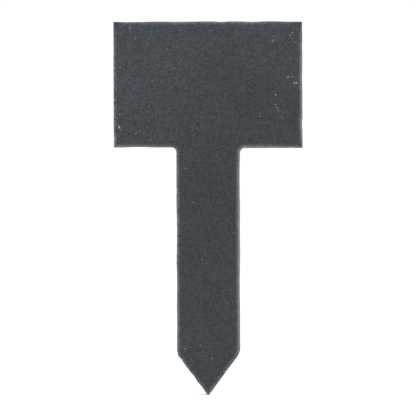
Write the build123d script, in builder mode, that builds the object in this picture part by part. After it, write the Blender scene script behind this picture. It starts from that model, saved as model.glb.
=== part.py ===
from build123d import *

import os
from math import sqrt

# Slate plant label stake: one riven slate plate, cut to a T with a pointed foot.
# X runs across the label, Y from its front to its back and Z up its length. The tip of the
# foot is the origin, and the front faces -Y. All lengths are in millimetres.

# The plate
head_width = 75.0
head_height = 50.2
stem_width = 25.3
foot_height = 98.0  # from the tip up to the underside of the head
left_lift = 0.35  # how much higher the underside is cut on the left
thickness = 4.5

# The foot
point_height = 15.7  # from the tip up to the corners of the point
shoulder_height = 2.3  # the short slope between the point and the straight stem
shoulder_step = 0.6  # how far that slope draws in
point_shift = -0.2  # the point is cut this far off the middle
tip_width = 0.7  # the apex is broken off this wide

# The eased edges
corner_radius = 2.1  # where the stem meets the head
front_bevel_left = 0.8  # width on the front, along the left side and the top
front_bevel_right = 1.1  # width on the front, along the right side
back_bevel = 0.5  # width on the back
bevel_depth = 0.6  # how far each bevel runs into the thickness

# The broken stone
hollow_depth = 0.25  # the deepest of the shallow hollows along the cut edges
flake_radius = 3.0  # curvature of the scar where a flake has left an edge
flake_bite = 0.22  # how deep such a scar goes into the bevel
flake_spacing = 9.0  # along each edge
leaf_depth = 0.25  # one leaf of slate lost from the riven back

# Where the cut edges are hollow: from and to along the edge, and how deep.
hollow_shares = {
    "top": [
        (-0.06, 0.24, 0.8),
        (0.24, 0.46, 0.5),
        (0.53, 0.61, 0.8),
        (0.67, 0.80, 0.9),
        (0.85, 1.08, 1.0),
    ],
    "head right": [(-0.05, 0.10, 0.5), (0.17, 0.24, 0.5), (0.40, 0.52, 0.7), (0.76, 0.86, 0.8)],
    "under right": [(0.12, 0.24, 0.4), (0.42, 0.56, 0.3)],
    "stem right": [(0.04, 0.28, 0.7), (0.29, 0.52, 0.4), (0.53, 0.83, 0.7)],
    "point right": [(0.30, 0.44, 0.3)],
    "point left": [(0.09, 0.30, 0.5), (0.42, 0.56, 0.9), (0.84, 0.95, 0.5)],
    "stem left": [(0.03, 0.20, 0.4), (0.22, 0.43, 0.6), (0.44, 0.70, 0.8), (0.76, 0.80, 0.3)],
    "under left": [(0.36, 0.88, 0.8)],
    "head left": [(-0.08, 0.17, 0.5), (0.70, 0.84, 0.2)],
}

# Flake scars keep to the middle of each edge, and their sizes take turns along it.
flake_run_share = 0.72
flake_size_shares = [0.75, 0.45, 1.0, 0.6]
scatter_share = (sqrt(5) - 1) / 2

# Leaves lost from the back, as outlines across and up the head, and across and up the stem.
head_leaf_shares = [
    [(-0.6, 0.55), (-0.41, 0.60), (-0.33, 0.74), (-0.14, 0.79), (-0.02, 0.93), (0.05, 1.1), (-0.6, 1.1)],
    [(0.6, -0.1), (0.6, 0.31), (0.44, 0.36), (0.36, 0.22), (0.25, 0.17), (0.21, -0.1)],
]
stem_leaf_shares = [
    [(-0.6, 0.52), (-0.22, 0.55), (0.06, 0.50), (0.19, 0.41), (0.6, 0.37)]
    + [(0.6, 0.24), (0.14, 0.21), (-0.10, 0.27), (-0.31, 0.24), (-0.6, 0.29)],
]

height = foot_height + head_height
overrun = thickness  # how far each cut runs past the stone
point_run = stem_width / 2 - shoulder_step
apex = (point_shift, -point_height * tip_width / (2 * point_run - tip_width))


def corners(side):
    """The corners down one side of the T, as seen from the front."""
    underside = foot_height if side > 0 else foot_height + left_lift
    return {
        "top": (side * head_width / 2, height),
        "under": (side * head_width / 2, underside),
        "inner": (side * stem_width / 2, underside),
        "shoulder": (side * stem_width / 2, point_height + shoulder_height),
        "point": (side * point_run + point_shift, point_height),
    }


left = corners(-1)
right = corners(1)

# Each long cut edge, run clockwise as seen from the front, so that the stone is on its right.
edges = {
    "top": (left["top"], right["top"]),
    "head right": (right["top"], right["under"]),
    "under right": (right["under"], right["inner"]),
    "stem right": (right["inner"], right["shoulder"]),
    "point right": (right["point"], apex),
    "point left": (apex, left["point"]),
    "stem left": (left["shoulder"], left["inner"]),
    "under left": (left["inner"], left["under"]),
    "head left": (left["under"], left["top"]),
}


def edge_frame(name):
    """An edge's start, its direction, the way out of the stone, and its length."""
    start, end = (Vector(*corner) for corner in edges[name])
    along = (end - start).normalized()
    return start, along, Vector(-along.Y, along.X), (end - start).length


def is_inner(corner):
    """Whether a corner of the outline is one where the stem meets the head."""
    return abs(corner.X) < (stem_width + head_width) / 4 and corner.Y > foot_height / 2


def on_right(edge):
    """Whether an edge of the front face has the wide bevel of the right side."""
    return edge.center().X > 0 and edge.center().Z < height - head_height / 4


def bevel_width(name, side):
    """The width of the bevel on a named edge, on the front (side -1) or the back (side 1)."""
    if side > 0:
        return back_bevel
    return front_bevel_right if name.endswith("right") else front_bevel_left


def flake_centres(turn):
    """The centres of the balls that shape every flake scar whose size has this turn."""
    centres = []
    for side in (-1, 1):
        for place, name in enumerate(edges, 2 + side):
            start, along, outward, length = edge_frame(name)
            bevel = bevel_width(name, side)
            facing = Vector(outward.X * bevel_depth, side * bevel, outward.Y * bevel_depth).normalized()
            ball = facing * (flake_size_shares[turn] * (flake_radius - flake_bite))
            count = round(flake_run_share * length / flake_spacing)
            for number in range(count):
                if (place + number) % len(flake_size_shares) != turn:
                    continue
                scatter = (place * count + number) * scatter_share % 1
                reach = (1 - flake_run_share) / 2 + flake_run_share * (number + scatter) / count
                middle = start + along * (reach * length) - outward * (bevel / 2)
                depth = side * (thickness - bevel_depth) / 2
                centres.append(Vector(middle.X, depth, middle.Y) + ball)
    return centres


# The stake: the cut plate, its bevels, its broken tip, and what the stone has lost.
with BuildPart() as slate_stake:
    with BuildSketch(Plane.XZ) as outline:
        with BuildLine():
            Polyline(*right.values(), apex, *reversed(left.values()), close=True)
        make_face()
        fillet(outline.vertices().filter_by(is_inner), corner_radius)
    extrude(amount=thickness / 2, both=True)

    front_face = slate_stake.faces().sort_by(Axis.Y)[0]
    chamfer(front_face.edges().filter_by(on_right), front_bevel_right, bevel_depth, reference=front_face)
    front_face = slate_stake.faces().sort_by(Axis.Y)[0]
    left_edges = front_face.edges().filter_by(on_right, reverse=True)
    left_edges = left_edges.filter_by(lambda edge: edge.center().X < 0 or edge.center().Z > foot_height)
    chamfer(left_edges, front_bevel_left, bevel_depth, reference=front_face)
    back_face = slate_stake.faces().sort_by(Axis.Y)[-1]
    chamfer(back_face.edges(), back_bevel, bevel_depth, reference=back_face)
    split(bisect_by=Plane.XY)

    with BuildSketch(Plane.XZ):
        for name, hollows in hollow_shares.items():
            start, along, outward, length = edge_frame(name)
            for low, high, depth in hollows:
                first = start + along * (low * length)
                last = start + along * (high * length)
                with BuildLine():
                    SagittaArc(first, last, -depth * hollow_depth)
                    Polyline(last, last + outward * overrun, first + outward * overrun, first)
                make_face()
    extrude(amount=overrun, both=True, mode=Mode.SUBTRACT)

    for turn, size in enumerate(flake_size_shares):
        with Locations(*flake_centres(turn)):
            Sphere(size * flake_radius, mode=Mode.SUBTRACT)

    with BuildSketch(Plane.XZ.offset(-thickness / 2)):
        for leaf in head_leaf_shares:
            with BuildLine():
                Polyline(*((x * head_width, foot_height + z * head_height) for x, z in leaf), close=True)
            make_face()
        for leaf in stem_leaf_shares:
            with BuildLine():
                Polyline(*((x * stem_width, z * foot_height) for x, z in leaf), close=True)
            make_face()
    extrude(amount=leaf_depth, mode=Mode.SUBTRACT)

slate_stake.part.label = "slate_stake"

os.makedirs("parts", exist_ok=True)
export_step(slate_stake.part, "parts/slate_stake.step")
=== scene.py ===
import math

import bpy
import numpy as np
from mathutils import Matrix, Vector, noise
from mathutils.bvhtree import BVHTree
from mathutils.geometry import delaunay_2d_cdt


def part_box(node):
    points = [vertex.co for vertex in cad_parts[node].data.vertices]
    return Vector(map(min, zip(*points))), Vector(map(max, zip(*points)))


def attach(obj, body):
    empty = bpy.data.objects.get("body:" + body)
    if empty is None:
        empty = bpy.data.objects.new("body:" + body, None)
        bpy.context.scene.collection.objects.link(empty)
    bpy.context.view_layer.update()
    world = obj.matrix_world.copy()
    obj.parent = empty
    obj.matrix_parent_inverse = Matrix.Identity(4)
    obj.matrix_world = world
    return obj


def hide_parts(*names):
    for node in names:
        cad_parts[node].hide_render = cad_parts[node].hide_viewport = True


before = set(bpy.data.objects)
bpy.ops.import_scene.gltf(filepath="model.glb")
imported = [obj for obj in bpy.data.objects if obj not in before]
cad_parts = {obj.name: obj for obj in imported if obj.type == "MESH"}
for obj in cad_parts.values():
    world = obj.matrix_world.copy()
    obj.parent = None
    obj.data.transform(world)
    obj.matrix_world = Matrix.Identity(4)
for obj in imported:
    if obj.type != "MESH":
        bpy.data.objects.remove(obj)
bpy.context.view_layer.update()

# A T-shaped label of riven slate, standing on the tip of its foot. X runs across it, -Y is
# the front and Z is up. The stone is one mesh: rings run round its edge, from the front face
# over the bevels and the cut side to the back, and a scatter of points fills each face.

MM = 0.001
SLATE = "slate_stake"

# The plate, as the frame has it
low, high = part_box(SLATE)
FRONT = low.y
BACK = high.y
HEIGHT = high.z
HEAD_WIDTH = high.x - low.x
FOOT_HEIGHT = 98.0 * MM
LEFT_LIFT = 0.35 * MM  # the underside of the head is this much higher on the left
STEM_WIDTH = 25.3 * MM
POINT_HEIGHT = 15.7 * MM
SHOULDER_HEIGHT = 2.3 * MM
SHOULDER_STEP = 0.6 * MM
POINT_SHIFT = -0.2 * MM  # the point is cut this far off the middle
TIP_WIDTH = 0.7 * MM
CORNER_RADIUS = 2.1 * MM

# The front arris of each cut edge: how wide its bevel is, how pale it is, from stone dust and
# from painted highlight, paler on the right and underside edges where the light falls from the lower
# right, and how unevenly it is chipped
ARRISES = {
    "top": (0.8 * MM, 0.8, 0.5),
    "head right": (1.0 * MM, 0.87, 0.3),
    "under right": (0.9 * MM, 0.9, 0.4),
    "inner right": (1.0 * MM, 0.95, 0.35),
    "stem right": (1.1 * MM, 1.1, 0.27),
    "shoulder right": (1.1 * MM, 0.8, 0.4),
    "point right": (1.2 * MM, 0.52, 0.5),
    "point left": (0.85 * MM, 0.66, 0.5),
    "shoulder left": (0.85 * MM, 0.75, 0.5),
    "stem left": (0.8 * MM, 0.84, 0.5),
    "inner left": (0.8 * MM, 0.7, 0.4),
    "under left": (0.8 * MM, 0.58, 0.25),
    "head left": (0.7 * MM, 0.66, 0.95),
}
BEVEL_DEPTH = 0.55 * MM
BACK_BEVEL = 0.4 * MM
BACK_DUST = 0.6  # how pale the stone dust on the back arrises is
ARRIS_BLEND = 1.5 * MM  # one edge's arris turns into the next one's over this length
NIBBLE_SIZE = 1.3 * MM  # the small irregular bites along the arrises
NIBBLE_BREADTH = 4  # there are broader ones too, this many times as long
NIBBLE_SHARE = 0.5  # how far they widen a bevel
SIDE_DUST_AND_HIGHLIGHT = 0.6  # how much of the arris's stone dust and painted highlight runs on over the cut side
SIDE_DUST_AND_HIGHLIGHT_FALL = 6  # and how fast it gives out towards the middle

# The relief of the stone
SWELL_SIZE = 22 * MM
SWELL_DEPTH = 0.05 * MM
RIPPLE_SIZE = 3.2 * MM
RIPPLE_DEPTH = 0.025 * MM
LEAF_SIZE = 34 * MM  # terraces where leaves of slate have split away
LEAF_STRETCH = 2.2  # they run on this much further one way, with the grain
LEAF_TURN = math.radians(28)  # and the grain leans this far from the label's length
LEAF_COUNT = 5  # how many of them one face may show
LEAF_JAG = 0.02  # how ragged their edges are
LEAF_RISE_SHARE = 0.12  # the share of a leaf's width that its edge slopes over
FRONT_LEAF = 0.022 * MM
BACK_LEAF = 0.08 * MM
BACK_RELIEF = 2  # but for its leaves, the back is this many times as rough as the front
LEAF_TONE = 0.13  # how much paler or darker one leaf on the back is than another
LEAF_TURNS = 2.4  # how far apart the tones of two neighbouring leaves are, as an angle
LEAF_DUST = 0.2  # how pale the broken edges of the lost leaves on the back are
LEAF_DUST_SIZE = 7 * MM  # and over what length that comes and goes
GRAIN_SIZE = 1.1 * MM
GRAIN_DEPTH = 0.008 * MM
LAYER_LENGTH = 5 * MM  # the layers seen on the cut side
LAYER_THICKNESS = 0.42 * MM
LAYER_DEPTH = 0.12 * MM
ARRIS_ROUGH = 0.25  # how much of that roughness reaches the arrises
SIDE_ROUGH_RISE = 4  # and how fast it grows towards the middle of the side
RAGGED_SIZE = 2.4 * MM  # the length over which ragged steps wander
RAGGED_REACH = 0.7 * MM  # and how far those on the back do
PROBE = 0.6 * MM  # the frame's surface is looked for from this far outside it
CORNER_TURN = math.radians(12)  # the outline has a corner where it turns by more than this

# How squarely a place faces the front or the back, from 0 to 1
ON_FACE = 0.01  # where it has a face's relief
ON_BACK = 0.9  # where it has the tones of the back's leaves
ON_FLAT = 0.99  # where the frame's steps are made ragged

# Noises of one seed are alike, so each surface has its own, or a few in a row
SEED_SHIFT = (17.3, 5.1, 29.7)  # how far one seed lies from the next in the noise
OCTAVE_STEP = 2.0  # how many times finer each octave of a noise is
OCTAVE_FALL = 1.0  # and the power by which the finer ones are weaker
FRONT_SEED = 2
BACK_SEED = 7
LAYER_SEED = 11
SIDE_SEED = 12
FRONT_NIBBLE_SEED = 21
BACK_NIBBLE_SEED = 31
RAGGED_SEED = 41
LEAF_DUST_SEED = 51

# And so has each random draw
FRONT_FIELD_SEED = 1
BACK_FIELD_SEED = 2
FLECK_SEED = 5
BACK_FLECK_SEED = 9

# The mesh
CONTOUR_STEP = 0.3 * MM
FRONT_STEP = 0.48 * MM
BACK_STEP = 0.55 * MM
STRAY_SHARE = 0.28  # how far a point strays from its place in the grid, in steps
CAP_MARGIN = 0.35 * MM  # how far the points of a face keep from its border
WELD = 1e-9  # points nearer than this are one
INSIDE_ONLY = 1  # Blender's number for triangles that lie inside the border
SIDE_RINGS = 12
SHARP_ANGLE = math.radians(50)
BORDER = 0.9 * MM  # how far the rings reach in from the bevels

# The rings over an arris, from the face outwards: the share of the border or of the bevel that
# is left or crossed there, how far the surface leans out, and how much of the arris's pale colour,
# stone dust and painted highlight, it has
BORDER_RINGS = [(1.0, 0, 0.0), (0.6, 0, 0.06), (0.28, 0, 0.16), (0.0, 12, 0.28)]
BEVEL_RINGS = [(0.34, 35, 0.5), (0.67, 48, 0.8), (1.0, 65, 1.0)]

# Pale flecks and dark pits (below 0) on the front: across and up in millimetres, and how strong
FLECKS = [
    (33.5, 143.5, 0.45), (32.5, 142.5, 0.45), (25.6, 140.4, 0.37), (26.6, 140.6, 0.15),
    (34.2, 139.7, 0.22), (31.8, 126.0, 0.5), (31.4, 125.6, 0.32), (33.7, 126.0, 0.33),
    (35.0, 123.6, 0.7), (34.2, 123.7, 0.7), (26.7, 118.9, 0.42), (26.7, 115.1, 0.36),
    (20.4, 110.4, 0.33), (20.6, 111.6, 0.14), (29.6, 111.9, 0.12), (29.1, 110.2, 0.13),
    (32.5, 103.6, 0.16), (22.8, 107.6, 0.1), (22.4, 132.3, 0.28), (18.8, 134.9, 0.23),
    (13.9, 135.9, 0.2), (16.0, 135.6, 0.14), (16.0, 134.5, 0.1), (21.1, 136.0, 0.16),
    (21.0, 137.2, 0.1), (16.8, 132.1, 0.1), (16.6, 143.7, 0.13), (2.3, 110.3, 0.13),
    (0.7, 107.3, 0.12), (13.6, 120.5, 0.12), (-35.2, 106.2, 0.78), (-34.9, 105.7, 0.3),
    (-34.6, 105.3, 0.22), (-35.1, 111.3, 0.36), (-34.2, 111.2, 0.14), (-30.9, 109.3, 0.15),
    (-26.3, 113.9, 0.12), (-28.7, 103.7, 0.2), (-28.2, 104.2, 0.16), (-22.6, 101.3, 0.16),
    (-28.8, 99.9, 0.2), (-23.9, 139.3, 0.22), (-34.6, 130.0, 0.2), (-31.9, 140.5, 0.14),
    (-28.7, 141.4, 0.2), (-22.0, 124.6, 0.15), (-29.3, 121.6, 0.17), (-15.7, 135.1, 0.12),
    (-26.7, 144.8, 0.12), (-23.3, 144.1, 0.12), (-5.8, 76.4, 0.3), (0.5, 65.9, 0.17),
    (-2.6, 53.8, 0.27), (-4.4, 32.4, 0.14), (-3.2, 19.8, 0.24), (-9.4, 18.5, 0.37),
    (1.2, 14.6, 0.21), (-7.0, 14.0, 0.18), (-11.1, 30.2, 0.16), (-4.1, 107.8, -0.9),
    (-5.0, 104.7, -0.5), (5.8, 106.2, -0.6), (-13.0, 113.2, -0.5), (2.9, 111.1, -0.4),
    (2.2, 101.3, -0.4), (8.9, 117.3, -0.4), (-12.4, 141.1, -0.5), (-15.7, 127.9, -0.5),
    (12.9, 127.5, -0.5), (20.0, 109.7, -0.6), (9.5, 122.0, -0.5), (0.2, 84.0, -0.5),
    (0.7, 60.8, -0.5), (9.1, 73.5, -0.4),
]
FLECK_DEPTH = 0.03 * MM
PIT_RADIUS = 0.65 * MM
FLECK_RADIUS = 0.3 * MM
FLECK_LEAST = 0.8  # the faintest fleck's radius, as a share of that
FLECK_GROWTH = 0.4  # and how much more of it a fleck of strength 1 has
FLECK_WAIST = 0.85  # a fleck is a little longer one way than the other
FLECK_STRETCH = 0.5  # by this much of its radius
FLECK_UNEVEN = (0.8, 1.2)  # the range in which its points lie nearer or further
FLECK_FADE = (0.7, 1.0)  # and the range in which they are fainter

# The points round a fleck: how many, how far out in radii, and how much of its strength they have
FLECK_RINGS = [(6, 0.6, 1.0), (9, 1.3, 0.0)]

# Faint pale scratches on the front, from point to point, and how strong
SCRATCHES = [
    ([(25.1, 117.0), (25.2, 115.8), (25.6, 114.9)], 0.06),
    ([(26.9, 114.2), (27.7, 113.2), (27.9, 112.4)], 0.13),
    ([(25.7, 141.8), (26.3, 142.4), (26.9, 142.2), (27.6, 141.3)], 0.11),
    ([(33.2, 125.9), (33.8, 126.2), (34.6, 125.7)], 0.1),
    ([(-30.6, 146.2), (-30.8, 145.6), (-31.1, 144.9)], 0.17),
    ([(-34.2, 145.8), (-33.4, 146.2), (-32.7, 145.9)], 0.09),
    ([(19.7, 137.3), (19.9, 135.9)], 0.09),
    ([(-31.0, 132.2), (-30.6, 129.2)], 0.07),
    ([(-16.7, 133.3), (-16.4, 129.9)], 0.04),
    ([(-9.4, 89.9), (-8.6, 89.8)], 0.12),
]
SCRATCH_WIDTH = 0.4 * MM
SCRATCH_FADE = (0.6, 1.4)  # the range in which a scratch is fainter or stronger on its way

# The flecks on the back lie by chance
BACK_FLECK_COUNT = 80
BACK_FLECK = 0.45  # the strength of the palest
BACK_FLECK_LEAST = 0.2  # the lowest share that is drawn, before the power is taken
BACK_FLECK_POWER = 3  # the higher this is, the more of them are faint
BACK_SCRATCHES = [
    ([(12.5, 131.0), (14.2, 128.9), (15.1, 126.2)], 0.1),
    ([(-27.4, 112.1), (-25.2, 113.0), (-22.6, 113.1)], 0.08),
    ([(-4.2, 61.5), (-3.4, 58.8)], 0.1),
]

# Paler patches on the front, and darker ones (below 0): mottling of the stone, and partly painted
# light, paler towards the upper left where the light falls: across, up and radius in millimetres,
# and how much paler
MOTTLE_AND_PAINTED_LIGHT = [
    (-38, 126, 14, 0.21), (-36, 102, 9, 0.05), (-12, 140, 7, 0.12), (8, 150, 12, 0.1),
    (-28, 146, 12, 0.09), (34, 145, 12, 0.14), (36, 124, 6, 0.05), (20, 107, 7, 0.04),
    (-2, 45, 9, 0.07), (-6, 16, 7, 0.09), (0, 66, 25, -0.1), (-20, 133, 13, 0.05),
    (22, 113, 13, -0.04),
]

# Where the front arrises are less pale (below 0) or paler, in their stone dust and painted
# highlight: across, up and radius in millimetres, and how much
DUSTINGS = [
    (-37.5, 148.2, 2.6, -0.8), (-24, 148.2, 4.5, -0.4), (32, 148.2, 5.5, -0.3),
    (37.5, 148.2, 2.2, -0.8), (37.5, 142, 5, -0.12), (37.5, 98, 2.2, -0.6), (30.5, 98, 3.5, -0.35),
    (18, 98, 3, -0.15), (-37.5, 143.5, 3, -0.3), (-36.9, 140.6, 0.7, 0.9), (-37.0, 101.1, 1.1, 1.1),
    (-35.5, 98.4, 1.5, 0.5), (12.6, 88, 9, -0.13), (-12.6, 61, 4, -0.25), (-12.6, 32, 4, 0.25),
    (-12.6, 20, 3, 0.35),
]


# The outline


def straight(start, end):
    """Points along a straight edge, with the outward direction at each."""
    start, end = np.array(start), np.array(end)
    length = np.linalg.norm(end - start)
    share = np.linspace(0, 1, math.ceil(length / CONTOUR_STEP) + 1)[:, None]
    along = (end - start) / length
    return start + (end - start) * share, np.array([[-along[1], along[0]]]) + 0 * share


def inner_corner(centre, first, last):
    """Points round the hollow fillet between the head and the stem."""
    count = math.ceil(CORNER_RADIUS * math.radians(last - first) / CONTOUR_STEP)
    angle = np.radians(np.linspace(first, last, count + 1))
    spoke = np.stack([np.cos(angle), np.sin(angle)], axis=1)
    return np.array(centre) + CORNER_RADIUS * spoke, -spoke


def side_runs(underside, shift):
    """The outline down the right of the T, with the head's underside at this height and the
    point this far outwards."""
    half_head, half_stem = HEAD_WIDTH / 2, STEM_WIDTH / 2
    half_point = half_stem - SHOULDER_STEP
    point = half_point + shift
    fillet = (half_stem + CORNER_RADIUS, underside - CORNER_RADIUS)
    shoulder = (half_stem, POINT_HEIGHT + SHOULDER_HEIGHT)
    apex = (shift, -POINT_HEIGHT * TIP_WIDTH / (2 * half_point - TIP_WIDTH))
    return {
        "head right": straight((half_head, HEIGHT), (half_head, underside)),
        "under right": straight((half_head, underside), (fillet[0], underside)),
        "inner right": inner_corner(fillet, 90, 180),
        "stem right": straight((half_stem, fillet[1]), shoulder),
        "shoulder right": straight(shoulder, (point, POINT_HEIGHT)),
        "point right": straight((point, POINT_HEIGHT), apex),
    }


def contour():
    """The outline of the T, clockwise from the front: points, outward and mitre directions, and
    the width, paleness (stone dust and painted highlight) and unevenness of the arris there."""
    mirror = np.array([-1, 1])
    runs = {"top": straight((-HEAD_WIDTH / 2, HEIGHT), (HEAD_WIDTH / 2, HEIGHT))}
    runs.update(side_runs(FOOT_HEIGHT, POINT_SHIFT))
    for name, (places, out) in reversed(side_runs(FOOT_HEIGHT + LEFT_LIFT, -POINT_SHIFT).items()):
        runs[name.replace("right", "left")] = (places[::-1] * mirror, out[::-1] * mirror)
    names = list(runs)
    parts = []
    for number, (name, (places, out)) in enumerate(runs.items()):
        before = runs[names[number - 1]][1][-1]
        after = runs[names[(number + 1) % len(names)]][1][0]
        first = (before + out[0]) / (1 + before @ out[0])
        last = (after + out[-1]) / (1 + after @ out[-1])
        share = np.linspace(0, 1, len(places))[:, None]
        mitre = out + (first - out[0]) * (1 - share) + (last - out[-1]) * share
        arris = np.tile(ARRISES[name], (len(places), 1))
        parts.append(np.concatenate([places, out, mitre, arris], axis=1)[:-1])
    table = np.concatenate(parts)
    return table[:, 0:2], table[:, 2:4], table[:, 4:6], table[:, 6:9]


# Noise, spots and probing


def fractal(places, size, octaves=3, seed=0):
    """Smooth noise of about -1 to 1 at each place, with features of this size."""
    shift = Vector([seed * part for part in SEED_SHIFT])
    scaled = np.asarray(places) / np.asarray(size)
    octave = (OCTAVE_FALL, OCTAVE_STEP, octaves)
    return np.array([noise.fractal(Vector(place) + shift, *octave) for place in scaled])


def spotted(flat, spots):
    """The strength of soft round spots, added up at each place."""
    total = np.zeros(len(flat))
    for across, up, radius, strength in spots:
        distance = np.hypot(flat[:, 0] - across * MM, flat[:, 1] - up * MM) / (radius * MM)
        total += strength * np.exp(-(distance**2) / 2)
    return total


def smooth_round(values, reach):
    """Evens out values along the closed contour, over a number of points each way."""
    kernel = np.hanning(2 * reach + 3)[1:-1]
    padded = np.concatenate([values[-reach:], values, values[:reach]])
    return np.convolve(padded, kernel / kernel.sum(), mode="valid")


def spread(flat, y):
    """Places in the plane of the label, set at depth y."""
    return np.stack([flat[:, 0], np.zeros(len(flat)) + y, flat[:, 1]], axis=1)


def frame_depth(tree, places, facing):
    """How far the frame's surface lies behind each place, looking against its facing."""
    depths = np.zeros(len(places))
    for number, (place, out) in enumerate(zip(places, facing)):
        hit = tree.ray_cast(Vector(place + out * PROBE), Vector(-out), 2 * PROBE)
        if hit[0] is not None:
            depths[number] = hit[3] - PROBE
    return depths


# The relief


def terraces(places, seed):
    """Depths in whole leaves, with ragged steps between them: the whole part and the rest."""
    along = places[:, 2] * math.cos(LEAF_TURN) + places[:, 0] * math.sin(LEAF_TURN)
    across = places[:, 0] * math.cos(LEAF_TURN) - places[:, 2] * math.sin(LEAF_TURN)
    drawn_out = np.stack([across, 0 * along, along / LEAF_STRETCH], axis=1)
    leaves = fractal(drawn_out, LEAF_SIZE, octaves=2, seed=seed)
    level = LEAF_COUNT * (0.5 + 0.5 * leaves + LEAF_JAG * fractal(places, RAGGED_SIZE, seed=seed))
    whole = np.floor(level)
    return whole, np.clip((level - whole - 1) / LEAF_RISE_SHARE + 1, 0, 1)


def face_relief(places, back):
    """How deep the riven surface of one face lies at each place, and in which leaf."""
    seed = BACK_SEED if back else FRONT_SEED
    swell = SWELL_DEPTH * (1 + fractal(places, SWELL_SIZE, octaves=2, seed=seed))
    ripple = RIPPLE_DEPTH * (1 + fractal(places, RIPPLE_SIZE, octaves=4, seed=seed + 1))
    grain = GRAIN_DEPTH * (1 + fractal(places, GRAIN_SIZE, octaves=2, seed=seed + 3))
    whole, rise = terraces(places, seed + 2)
    leaf = (BACK_LEAF if back else FRONT_LEAF) * (whole + rise)
    return (BACK_RELIEF if back else 1) * (swell + ripple + grain) + leaf, whole + rise


def riven(places, facing):
    """How deep the riven faces lie at each place that has part in one, and in which leaf."""
    relief, leaf = np.zeros(len(places)), np.zeros(len(places))
    for back, chosen in ((False, facing[:, 1] < -ON_FACE), (True, facing[:, 1] > ON_FACE)):
        relief[chosen], leaf[chosen] = face_relief(places[chosen], back)
    return relief, leaf


def side_relief(places):
    """How deep the cut side lies at each place, where its layers have broken unevenly."""
    stretched = places * np.array([1, LAYER_LENGTH / LAYER_THICKNESS, 1])
    layers = fractal(stretched, LAYER_LENGTH, seed=LAYER_SEED)
    chips = fractal(places, RIPPLE_SIZE, seed=SIDE_SEED)
    return LAYER_DEPTH * np.clip(layers, 0, 1) + RIPPLE_DEPTH * np.clip(chips, 0, 1)


def ragged(places, facing):
    """The places, shifted a little on the flats, so that steps looked up there come out ragged."""
    shifted = places.copy()
    flat = np.abs(facing[:, 1]) > ON_FLAT
    for axis in (0, 2):
        wander = fractal(places[flat], RAGGED_SIZE, octaves=4, seed=RAGGED_SEED + axis)
        shifted[flat, axis] += RAGGED_REACH * wander
    return shifted


def leaf_dust(tree, places, shifted, facing):
    """How dusty each place on the back is, from lying on the broken edge of a lost leaf."""
    broken = np.zeros(len(places))
    for step in (np.array([BACK_STEP, 0, 0]), np.array([0, 0, BACK_STEP])):
        ahead, behind = (frame_depth(tree, shifted + way * step, facing) for way in (1, -1))
        broken = np.maximum(broken, np.clip(np.abs(ahead - behind) / BACK_LEAF, 0, 1))
    patches = np.clip(0.5 + fractal(places, LEAF_DUST_SIZE, seed=LEAF_DUST_SEED), 0, 1)
    return LEAF_DUST * patches * broken


# The edge


def drawn_in(points, out, hollow):
    """The outline moved in by its hollows, where each corner follows both of its edges."""
    moved = points - out * hollow[:, None]
    for number, point in enumerate(points):
        pair = np.stack([out[number - 1], out[number]])
        if abs(np.linalg.det(pair)) > math.sin(CORNER_TURN):
            ends = [hollow[number - 1], hollow[(number + 1) % len(points)]]
            moved[number] = point - np.linalg.solve(pair, ends)
    return moved


def hollowed_contour(tree):
    """The outline as its hollows leave it: points, mitre directions, the ways that the edge
    faces, and the width, paleness (stone dust and painted highlight) and unevenness of the arris."""
    points, out, mitre, arris = contour()
    middle = spread(points, (FRONT + BACK) / 2)
    hollow = np.maximum(frame_depth(tree, middle, spread(out, 0)), 0)
    hollow = np.where(points[:, 1] > 0, smooth_round(hollow, 1), 0)
    points = drawn_in(points, out, hollow)
    blend = round(ARRIS_BLEND / CONTOUR_STEP)
    width, dust_and_highlight, chipped = (smooth_round(column, blend) for column in arris.T)
    dust_and_highlight = dust_and_highlight * np.maximum(1 + spotted(points, DUSTINGS), 0)
    turned = np.stack([smooth_round(axis, 1) for axis in out.T], axis=1)
    turned /= np.linalg.norm(turned, axis=1)[:, None]
    return points, mitre, turned, width, dust_and_highlight, chipped


def nibbled(places, chipped, seed):
    """How wide the bitten arris is at each place, as a share of its usual width."""
    fine = fractal(places, NIBBLE_SIZE, seed=seed)
    broad = fractal(places, NIBBLE_BREADTH * NIBBLE_SIZE, octaves=2, seed=seed + 1)
    return 1 + NIBBLE_SHARE * chipped * (fine + broad)


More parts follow.
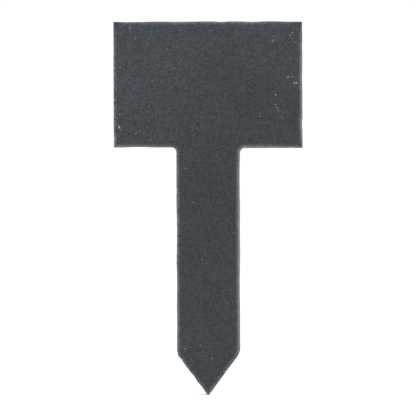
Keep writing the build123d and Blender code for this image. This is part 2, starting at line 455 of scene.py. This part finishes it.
def edge_rings(tree):
    """The rings round the edge, from the front to the back: for each its places, the way that
    they face, and how pale with stone dust and painted highlight, chipped, much on the cut side and
    rough each place is."""
    points, mitre, turned, width, dust_and_highlight, chipped = hollowed_contour(tree)
    ones = np.ones(len(points))
    rings = []

    def ring(inset, y, lean, dust_and_highlight_share=0, side=0, rough=0):
        lean = math.radians(lean)
        facing = spread(turned * abs(math.sin(lean)), -math.cos(lean))
        places = spread(points - mitre * inset[:, None], y)
        rings.append((places, facing, dust_and_highlight_share * ones, chipped, side * ones, rough * ones))

    front = nibbled(spread(points, FRONT), chipped, FRONT_NIBBLE_SEED)
    back = nibbled(spread(points, BACK), chipped, BACK_NIBBLE_SEED)
    front_width, back_width = width * front, BACK_BEVEL * back
    front_depth, back_depth = BEVEL_DEPTH * (1 + front) / 2, BEVEL_DEPTH * (1 + back) / 2
    for share, lean, dust_and_highlight_share in BORDER_RINGS:
        ring(front_width + BORDER * share, FRONT, lean, dust_and_highlight_share * dust_and_highlight)
    for share, lean, dust_and_highlight_share in BEVEL_RINGS:
        rough = ARRIS_ROUGH if share == 1 else 0
        ring(front_width * (1 - share), FRONT + front_depth * share, lean, dust_and_highlight_share * dust_and_highlight, 0, rough)
    for share in np.linspace(0, 1, SIDE_RINGS + 2)[1:-1]:
        y = FRONT + front_depth + (BACK - FRONT - front_depth - back_depth) * share
        near = min(share, 1 - share)
        dust_and_highlight_share = max(0, SIDE_DUST_AND_HIGHLIGHT - SIDE_DUST_AND_HIGHLIGHT_FALL * near)
        rough = min(1, ARRIS_ROUGH + SIDE_ROUGH_RISE * near)
        ring(0 * width, y, 90, dust_and_highlight_share * dust_and_highlight, 1, rough)
    for share, lean, dust_and_highlight_share in reversed(BEVEL_RINGS):
        rough = ARRIS_ROUGH if share == 1 else 0
        ring(back_width * (1 - share), BACK - back_depth * share, 180 - lean, dust_and_highlight_share * BACK_DUST, 0, rough)
    for share, lean, dust_and_highlight_share in reversed(BORDER_RINGS):
        ring(back_width + BORDER * share, BACK, 180 - lean, dust_and_highlight_share * BACK_DUST)
    return rings


# The points of the faces


def inside(flat, polygon, margin):
    """Which points lie inside a closed polygon, further than a margin from its corners."""
    x, z = flat[:, 0], flat[:, 1]
    crossings = np.zeros(len(flat), int)
    near = np.zeros(len(flat), bool)
    for (x0, z0), (x1, z1) in zip(polygon, np.roll(polygon, -1, axis=0)):
        if z0 != z1:
            crosses = ((z0 > z) != (z1 > z)) & (x < x0 + (z - z0) * (x1 - x0) / (z1 - z0))
            crossings += crosses
        near |= (x - x0) ** 2 + (z - z0) ** 2 < margin**2
    return (crossings % 2 == 1) & ~near


def face_points(border, step, seed):
    """A jittered field of points inside the border of one face."""
    random = np.random.default_rng(seed)
    across = np.arange(-HEAD_WIDTH / 2, HEAD_WIDTH / 2, step)
    up = np.arange(0, HEIGHT, step)
    flat = np.stack(np.meshgrid(across, up), axis=-1).reshape(-1, 2)
    flat = flat + random.uniform(-STRAY_SHARE, STRAY_SHARE, flat.shape) * step
    return flat[inside(flat, border, CAP_MARGIN)]


def chance_flecks():
    """Flecks strewn over the back: across and up in millimetres, and how strong. Most are faint."""
    random = np.random.default_rng(BACK_FLECK_SEED)
    across = random.uniform(-0.5, 0.5, BACK_FLECK_COUNT) * HEAD_WIDTH / MM
    up = random.uniform(0, 1, BACK_FLECK_COUNT) * HEIGHT / MM
    share = random.uniform(BACK_FLECK_LEAST, 1, BACK_FLECK_COUNT) ** BACK_FLECK_POWER
    return list(zip(across, up, BACK_FLECK * share))


def fleck_marks(across, up, strength, random):
    """A fleck's middle and the points round it, and how pale it is at each."""
    centre = np.array([across, up]) * MM
    radius = FLECK_RADIUS * (FLECK_LEAST + FLECK_GROWTH * strength) if strength > 0 else PIT_RADIUS
    turn, axis = random.uniform(0, math.tau, 2)
    marks = [(centre, strength)]
    for count, reach, share in FLECK_RINGS:
        for angle in turn + math.tau * np.arange(count) / count:
            length = radius * reach * random.uniform(*FLECK_UNEVEN)
            length *= FLECK_WAIST + FLECK_STRETCH * math.cos(angle - axis) ** 2
            place = centre + length * np.array([math.cos(angle), math.sin(angle)])
            marks.append((place, strength * share * random.uniform(*FLECK_FADE)))
    return marks


def scratch_marks(route, strength, random):
    """Points along a scratch and on both sides of it, and how pale it is at each."""
    marks = []
    for start, end in zip(np.array(route[:-1]) * MM, np.array(route[1:]) * MM):
        length = np.linalg.norm(end - start)
        along = (end - start) / length
        across = np.array([-along[1], along[0]]) * SCRATCH_WIDTH
        for reach in np.arange(0, length, SCRATCH_WIDTH):
            middle = start + along * reach
            marks.append((middle, strength * random.uniform(*SCRATCH_FADE)))
            marks += [(middle + across, 0), (middle - across, 0)]
    return marks


def marked_points(border, step, seed, flecks, scratches):
    """The points inside the border of one face, those of its flecks first, and how pale each is."""
    random = np.random.default_rng(FLECK_SEED)
    found = [mark for fleck in flecks for mark in fleck_marks(*fleck, random)]
    found += [mark for route, strength in scratches for mark in scratch_marks(route, strength, random)]
    marks, pale = (np.array(column) for column in zip(*found))
    kept = inside(marks, border, CAP_MARGIN)
    marks, pale = marks[kept], pale[kept]
    field = face_points(border, step, seed)
    gap = [np.min(np.linalg.norm(marks - place, axis=1)) for place in field]
    field = field[np.array(gap) > step / 2]
    return np.concatenate([marks, field]), np.concatenate([pale, np.zeros(len(field))])


# The mesh


def ring_faces(count, rings):
    """Quads from each ring of this many points to the next one."""
    steps = np.arange(count)
    after = (steps + 1) % count
    faces = []
    for a in range(0, (rings - 1) * count, count):
        b = a + count
        faces += np.stack([a + steps, a + after, b + after, b + steps], axis=1).tolist()
    return faces


def cap_faces(border, field, first_border, first_field):
    """Triangles over one face, whose border and field start at these numbers in the mesh."""
    flat = [Vector(place) for place in np.concatenate([border, field])]
    ring = list(range(len(border)))
    numbers = [first_border + place for place in ring]
    numbers += range(first_field, first_field + len(field))
    _, _, faces, origins, _, _ = delaunay_2d_cdt(flat, [], [ring], INSIDE_ONLY, WELD)
    return [[numbers[origins[corner][0]] for corner in face] for face in faces]


def stone_points(rings, front_field, back_field):
    """All points of the stone, those of the rings first, then the front's and the back's: the
    places, the way that they face, and how pale with stone dust and painted highlight, chipped, much
    on the cut side and rough."""
    places, facing, *painted = (np.concatenate(column) for column in zip(*rings))
    for field, y, way in ((front_field, FRONT, -1), (back_field, BACK, 1)):
        places = np.concatenate([places, spread(field, y)])
        facing = np.concatenate([facing, np.tile([0.0, way, 0.0], (len(field), 1))])
    rest = np.zeros(len(front_field) + len(back_field))
    return places, facing, *(np.concatenate([values, rest]) for values in painted)


def carved(places, facing, depth, relief, rough):
    """The places cut in by a depth, by the relief of the faces and by that of the cut side."""
    moved = places - facing * depth[:, None]
    moved[:, 1] -= facing[:, 1] * relief
    outward = facing * np.array([1, 0, 1])
    moved -= outward * (rough * side_relief(places))[:, None]
    moved[:, 2] = np.maximum(moved[:, 2], 0)
    return moved


def make_mesh(name, places, faces, painted):
    """A mesh with values painted on its points, smooth but for its sharp edges."""
    mesh = bpy.data.meshes.new(name)
    mesh.from_pydata(places.tolist(), [], faces)
    for attribute, values in painted.items():
        made = mesh.attributes.new(attribute, "FLOAT", "POINT")
        made.data.foreach_set("value", values.astype(np.float32))
    mesh.validate()
    mesh.shade_smooth()
    mesh.set_sharp_from_angle(angle=SHARP_ANGLE)
    return mesh


def build_stone():
    """The whole stone as one closed mesh."""
    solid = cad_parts[SLATE].data
    tree = BVHTree.FromPolygons([v.co for v in solid.vertices], [p.vertices for p in solid.polygons])
    rings = edge_rings(tree)
    front_border, back_border = (places[:, [0, 2]] for places in (rings[0][0], rings[-1][0]))
    front_field, front_pale = marked_points(
        front_border, FRONT_STEP, FRONT_FIELD_SEED, FLECKS, SCRATCHES
    )
    back_field, back_pale = marked_points(
        back_border, BACK_STEP, BACK_FIELD_SEED, chance_flecks(), BACK_SCRATCHES
    )
    count = len(front_border)
    last_ring = count * (len(rings) - 1)
    first_front = count * len(rings)
    first_back = first_front + len(front_field)

    places, facing, dust_and_highlight_share, chipped, side, rough = stone_points(rings, front_field, back_field)
    fleck = np.concatenate([np.zeros(first_front), front_pale, back_pale])
    shifted = ragged(places, facing)
    lost = np.where(places[:, 2] > 0, np.maximum(frame_depth(tree, shifted, facing), 0), 0)
    back = slice(first_back, None)
    dust_and_highlight_share[back] = leaf_dust(tree, places[back], shifted[back], facing[back])
    relief, leaf = riven(places, facing)
    moved = carved(places, facing, lost + np.abs(fleck) * FLECK_DEPTH, relief, rough)
    leaf_tone = LEAF_TONE * np.sin(LEAF_TURNS * (leaf + lost / BACK_LEAF))
    # the tone holds the paler patches, partly painted light towards the upper left, and the back's leaf
    # tones
    tone = spotted(places[:, [0, 2]], MOTTLE_AND_PAINTED_LIGHT) + np.where(facing[:, 1] > ON_BACK, leaf_tone, 0)

    faces = ring_faces(count, len(rings))
    faces += cap_faces(front_border, front_field, 0, first_front)
    faces += [face[::-1] for face in cap_faces(back_border, back_field, last_ring, first_back)]
    # arris holds the front arrises' stone dust and painted highlight, and the dust on the back's leaf
    # edges
    painted = {"arris": dust_and_highlight_share, "chipped": chipped, "side": side, "fleck": fleck, "tone": tone}
    stone = bpy.data.objects.new("riven_slate", make_mesh("riven_slate", moved, faces, painted))
    bpy.context.scene.collection.objects.link(stone)
    return stone


# Shader nodes


def node(tree, kind, settings=None, **sockets):
    """A new shader node, with its settings, and its sockets set or linked by name."""
    made = tree.nodes.new("ShaderNode" + kind)
    for name, value in (settings or {}).items():
        setattr(made, name, value)
    for name, value in sockets.items():
        join(tree, made.inputs[name.replace("_", " ")], value)
    return made


def join(tree, socket, value):
    """Links a socket to another one, or sets its value."""
    if isinstance(value, bpy.types.NodeSocket):
        tree.links.new(value, socket)
    else:
        socket.default_value = value


def maths(tree, operation, *values, clamp=False):
    """One step of arithmetic on sockets or numbers."""
    made = node(tree, "Math", {"operation": operation, "use_clamp": clamp})
    for socket, value in zip(made.inputs, values):
        join(tree, socket, value)
    return made.outputs[0]


def product(tree, first, second):
    """Two vectors or colours multiplied part by part."""
    made = node(tree, "VectorMath", {"operation": "MULTIPLY"})
    join(tree, made.inputs[0], first)
    join(tree, made.inputs[1], second)
    return made.outputs[0]


def blend_of(tree, share, first, second):
    """A colour between two, by a share from 0 to 1."""
    made = node(tree, "Mix", {"data_type": "RGBA"})
    colours = [socket for socket in made.inputs if socket.type == "RGBA"]
    join(tree, made.inputs[0], share)
    join(tree, colours[0], first)
    join(tree, colours[1], second)
    return next(socket for socket in made.outputs if socket.type == "RGBA")


def speckle(tree, places, size, detail=2.0, roughness=0.5, seed=0.0):
    """A noise from 0 to 1 with features of this size."""
    made = node(tree, "TexNoise", {"noise_dimensions": "4D"}, Vector=places, W=seed)
    made.inputs["Scale"].default_value = 1 / size
    made.inputs["Detail"].default_value = detail
    made.inputs["Roughness"].default_value = roughness
    return made.outputs["Fac"]


def ramp(tree, value, low, high):
    """A value taken from low..high to 0..1, and held there."""
    made = node(tree, "MapRange", {"clamp": True}, Value=value)
    made.inputs["From Min"].default_value = low
    made.inputs["From Max"].default_value = high
    return made.outputs["Result"]


def drift(tree, places, slope):
    """A value that grows steadily across the stone, by this much a metre each way."""
    made = node(tree, "VectorMath", {"operation": "DOT_PRODUCT"})
    join(tree, made.inputs[0], places)
    made.inputs[1].default_value = slope
    return made.outputs["Value"]


def new_material(name):
    """A new material: itself, its nodes, its shader and the places on the object."""
    material = bpy.data.materials.new(name)
    material.use_nodes = True
    tree = material.node_tree
    return material, tree, tree.nodes["Principled BSDF"], node(tree, "TexCoord").outputs["Object"]


def srgb(red, green, blue):
    """A colour given as it looks on a screen, 0 to 255, in linear light (the sRGB curve)."""
    def linear(channel):
        share = channel / 255
        return share / 12.92 if share <= 0.04045 else ((share + 0.055) / 1.055) ** 2.4
    return (linear(red), linear(green), linear(blue), 1.0)


# The slate

GREEN_GREY = srgb(36.4, 44.6, 46.8)
PURPLE_GREY = srgb(43.4, 43.6, 50.2)
# The arrises' pale colour: stone dust, and painted highlight on the right and underside edges, where the
# light falls from the lower right
DUST_AND_HIGHLIGHT_COLOUR = srgb(105, 113, 115)
FLECK_COLOUR = srgb(152, 162, 166)
SIDE_COLOUR = srgb(84, 91, 93)

# The stone is redder up and to the right, and bluer down the stem
RED_DRIFT = (0.7, 0.0, 0.37)
RED_AT_TIP = 0.963
BLUE_DRIFT = (0.0, 0.0, -0.08)
BLUE_AT_TIP = 1.013

# The noises: feature size, detail, roughness, and a fourth coordinate that sets them apart
HUE_NOISE = (3.6 * MM, 6.0, 0.7, 1.0)
CLOUD_NOISE = (16 * MM, 3.0, 0.5, 3.0)
GRAIN_NOISE = (0.9 * MM, 2.0, 0.6, 4.0)
FINE_NOISE = (0.45 * MM, 1.0, 0.5, 5.0)
CHIP_NOISE = (0.8 * MM, 2.0, 0.5, 6.0)
LAYER_NOISE = (0.3 * MM, 4.0, 0.7, 7.0)
LAYER_FLATNESS = (0.07, 1.0, 0.07)  # the layers run on far along the edge

# The part of a noise's range that is used, from end to end
HUE_RANGE = (0.32, 0.68)
LAYER_RANGE = (0.35, 0.65)

# What a value is multiplied by, and what is added, to give a share, a brightness or a roughness
LAYER_SHARE = (0.7, 0.2)
CLOUD_LIGHT = (0.4, 0.8)
GRAIN_LIGHT = (1.7, 0.15)
FINE_LIGHT = (2.2, -0.1)
PIT_LIGHT = (0.7, 1.0)
CHIP_STRENGTH = (-9.0, 11.0)  # the pale arris colour, stone dust and painted highlight, is more broken up where there is less of it
GRAIN_ROUGHNESS = (0.25, 0.5)

SLATE_SPECULAR = 0.25
BUMP_FINE = 0.5  # how much the finer grain adds to the bump
BUMP_STRENGTH = 0.6
BUMP_HEIGHT = 0.05 * MM


def riven_colour(tree, places):
    """Blue-grey that wanders between green and purple, and drifts across the label."""
    hue = ramp(tree, speckle(tree, places, *HUE_NOISE), *HUE_RANGE)
    colour = blend_of(tree, hue, GREEN_GREY, PURPLE_GREY)
    red = maths(tree, "ADD", drift(tree, places, RED_DRIFT), RED_AT_TIP)
    blue = maths(tree, "ADD", drift(tree, places, BLUE_DRIFT), BLUE_AT_TIP)
    return product(tree, colour, node(tree, "CombineXYZ", X=red, Y=1.0, Z=blue).outputs[0])


def layered_colour(tree, places, colour, side):
    """A colour with the paler layers of the cut side over it, where the stone has one."""
    flattened = product(tree, places, LAYER_FLATNESS)
    layers = ramp(tree, speckle(tree, flattened, *LAYER_NOISE), *LAYER_RANGE)
    share = maths(tree, "MULTIPLY", side, maths(tree, "MULTIPLY_ADD", layers, *LAYER_SHARE))
    return blend_of(tree, share, colour, SIDE_COLOUR)


def brightness(tree, tone, cloud, grain, fine, pit):
    """How bright the stone is: its tone and clouds, times its two grains and its dark pits."""
    light = maths(tree, "ADD", tone, maths(tree, "MULTIPLY_ADD", cloud, *CLOUD_LIGHT))
    for value, factors in ((grain, GRAIN_LIGHT), (fine, FINE_LIGHT), (pit, PIT_LIGHT)):
        light = maths(tree, "MULTIPLY", light, maths(tree, "MULTIPLY_ADD", value, *factors))
    return light


def dust_and_highlight_amount(tree, places, arris, chipped):
    """How much of the arrises' pale colour, stone dust and painted highlight, shows, from 0 to 1, broken
    up by small chips.
    """
    chips = maths(tree, "SUBTRACT", speckle(tree, places, *CHIP_NOISE), 0.5)
    uneven = maths(tree, "MULTIPLY", chipped, maths(tree, "MULTIPLY_ADD", arris, *CHIP_STRENGTH))
    share = maths(tree, "MULTIPLY_ADD", chips, uneven, 1.0)
    return maths(tree, "MULTIPLY", arris, share, clamp=True)


def slate_material():
    """Riven slate: blue-grey that drifts to green and purple, a fine grain, and arrises pale with stone
    dust and painted highlight.
    """
    material, tree, shader, places = new_material("slate")
    arris, chipped, side, fleck, tone = (
        node(tree, "Attribute", {"attribute_name": name}).outputs["Fac"]
        for name in ("arris", "chipped", "side", "fleck", "tone")
    )
    pit = maths(tree, "MINIMUM", fleck, 0.0)
    cloud = speckle(tree, places, *CLOUD_NOISE)
    grain = speckle(tree, places, *GRAIN_NOISE)
    fine = speckle(tree, places, *FINE_NOISE)
    light = brightness(tree, tone, cloud, grain, fine, pit)

    colour = layered_colour(tree, places, riven_colour(tree, places), side)
    shade = node(tree, "VectorMath", {"operation": "SCALE"}, Scale=light)
    join(tree, shade.inputs[0], colour)
    # Pale arrises: stone dust, with painted highlight on the right and underside edges
    colour = blend_of(tree, dust_and_highlight_amount(tree, places, arris, chipped), shade.outputs[0], DUST_AND_HIGHLIGHT_COLOUR)
    colour = blend_of(tree, maths(tree, "MAXIMUM", fleck, 0.0), colour, FLECK_COLOUR)
    join(tree, shader.inputs["Base Color"], colour)
    join(tree, shader.inputs["Roughness"], maths(tree, "MULTIPLY_ADD", grain, *GRAIN_ROUGHNESS))
    shader.inputs["Specular IOR Level"].default_value = SLATE_SPECULAR

    bump = node(tree, "Bump", Height=maths(tree, "MULTIPLY_ADD", fine, BUMP_FINE, grain))
    bump.inputs["Strength"].default_value = BUMP_STRENGTH
    bump.inputs["Distance"].default_value = BUMP_HEIGHT
    join(tree, shader.inputs["Normal"], bump.outputs["Normal"])
    return material


# The studio

FLOOR_SIDE = 6.0
FLOOR_UNEVEN = 40 * MM
FLOOR_LIGHT = (0.02, 0.96)  # what its noise is multiplied by, and what is added
FLOOR_ROUGHNESS = 0.95
FLOOR_SPECULAR = 0.1
WHITE = 1.05  # how bright the sky is

# The lights: where each stands and how wide it is, in metres, and its watts
LIGHTS = {
    "key": ((-0.30, -0.42, 0.42), 0.35, 1.6),
    "low_right": ((0.45, -0.25, 0.05), 0.25, 0.8),
    "behind": ((0.48, 0.16, 0.3), 0.25, 2.4),
}

PIXEL = 0.396 * MM  # what one pixel of the photograph measures on the label
IMAGE_SIDE = 416
IMAGE_CENTRE_UP = 74.16 * MM
IMAGE_CENTRE_ACROSS = -0.12 * MM
ROLL = math.radians(0.15)  # the label leans about this far in the photograph
LENS = 100.0
SENSOR = 36.0
NEAREST = 0.01
FURTHEST = 20


def floor_material():
    """Matt white, a little uneven, as a sheet of studio paper."""
    material, tree, shader, places = new_material("studio_floor")
    tone = maths(tree, "MULTIPLY_ADD", speckle(tree, places, FLOOR_UNEVEN), *FLOOR_LIGHT)
    paper = node(tree, "CombineColor", Red=tone, Green=tone, Blue=tone)
    join(tree, shader.inputs["Base Color"], paper.outputs[0])
    shader.inputs["Roughness"].default_value = FLOOR_ROUGHNESS
    shader.inputs["Specular IOR Level"].default_value = FLOOR_SPECULAR
    return material


def make_camera():
    """Square-on to the front, far enough off to frame the label as the photograph does."""
    data = bpy.data.cameras.new("camera")
    data.lens = LENS
    data.sensor_width = SENSOR
    data.clip_start, data.clip_end = NEAREST, FURTHEST
    camera = bpy.data.objects.new("camera", data)
    bpy.context.scene.collection.objects.link(camera)
    distance = IMAGE_SIDE * PIXEL * LENS / SENSOR
    camera.location = (IMAGE_CENTRE_ACROSS, FRONT - distance, IMAGE_CENTRE_UP)
    camera.rotation_euler = (math.pi / 2, ROLL, 0)
    bpy.context.scene.camera = camera


def make_light(name, place, size, watts):
    """A soft square light that looks at the middle of the label."""
    data = bpy.data.lights.new(name, "AREA")
    data.size = size
    data.energy = watts
    light = bpy.data.objects.new(name, data)
    bpy.context.scene.collection.objects.link(light)
    light.location = place
    aim = Vector((0, 0, IMAGE_CENTRE_UP)) - light.location
    light.rotation_euler = aim.to_track_quat("-Z", "Y").to_euler()


def make_studio():
    """A white room: an even white sky, a white floor and three soft lights."""
    world = bpy.data.worlds.new("studio")
    world.use_nodes = True
    sky = world.node_tree.nodes["Background"]
    sky.inputs["Color"].default_value = (1, 1, 1, 1)
    sky.inputs["Strength"].default_value = WHITE
    bpy.context.scene.world = world
    bpy.ops.mesh.primitive_plane_add(size=FLOOR_SIDE)
    floor = bpy.context.object
    floor.name = "studio_floor"
    floor.data.materials.append(floor_material())
    for name, light in LIGHTS.items():
        make_light(name, *light)
    bpy.context.scene.view_settings.view_transform = "Standard"


stone = build_stone()
stone.data.materials.append(slate_material())
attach(stone, "root")
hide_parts(SLATE)
make_studio()
make_camera()
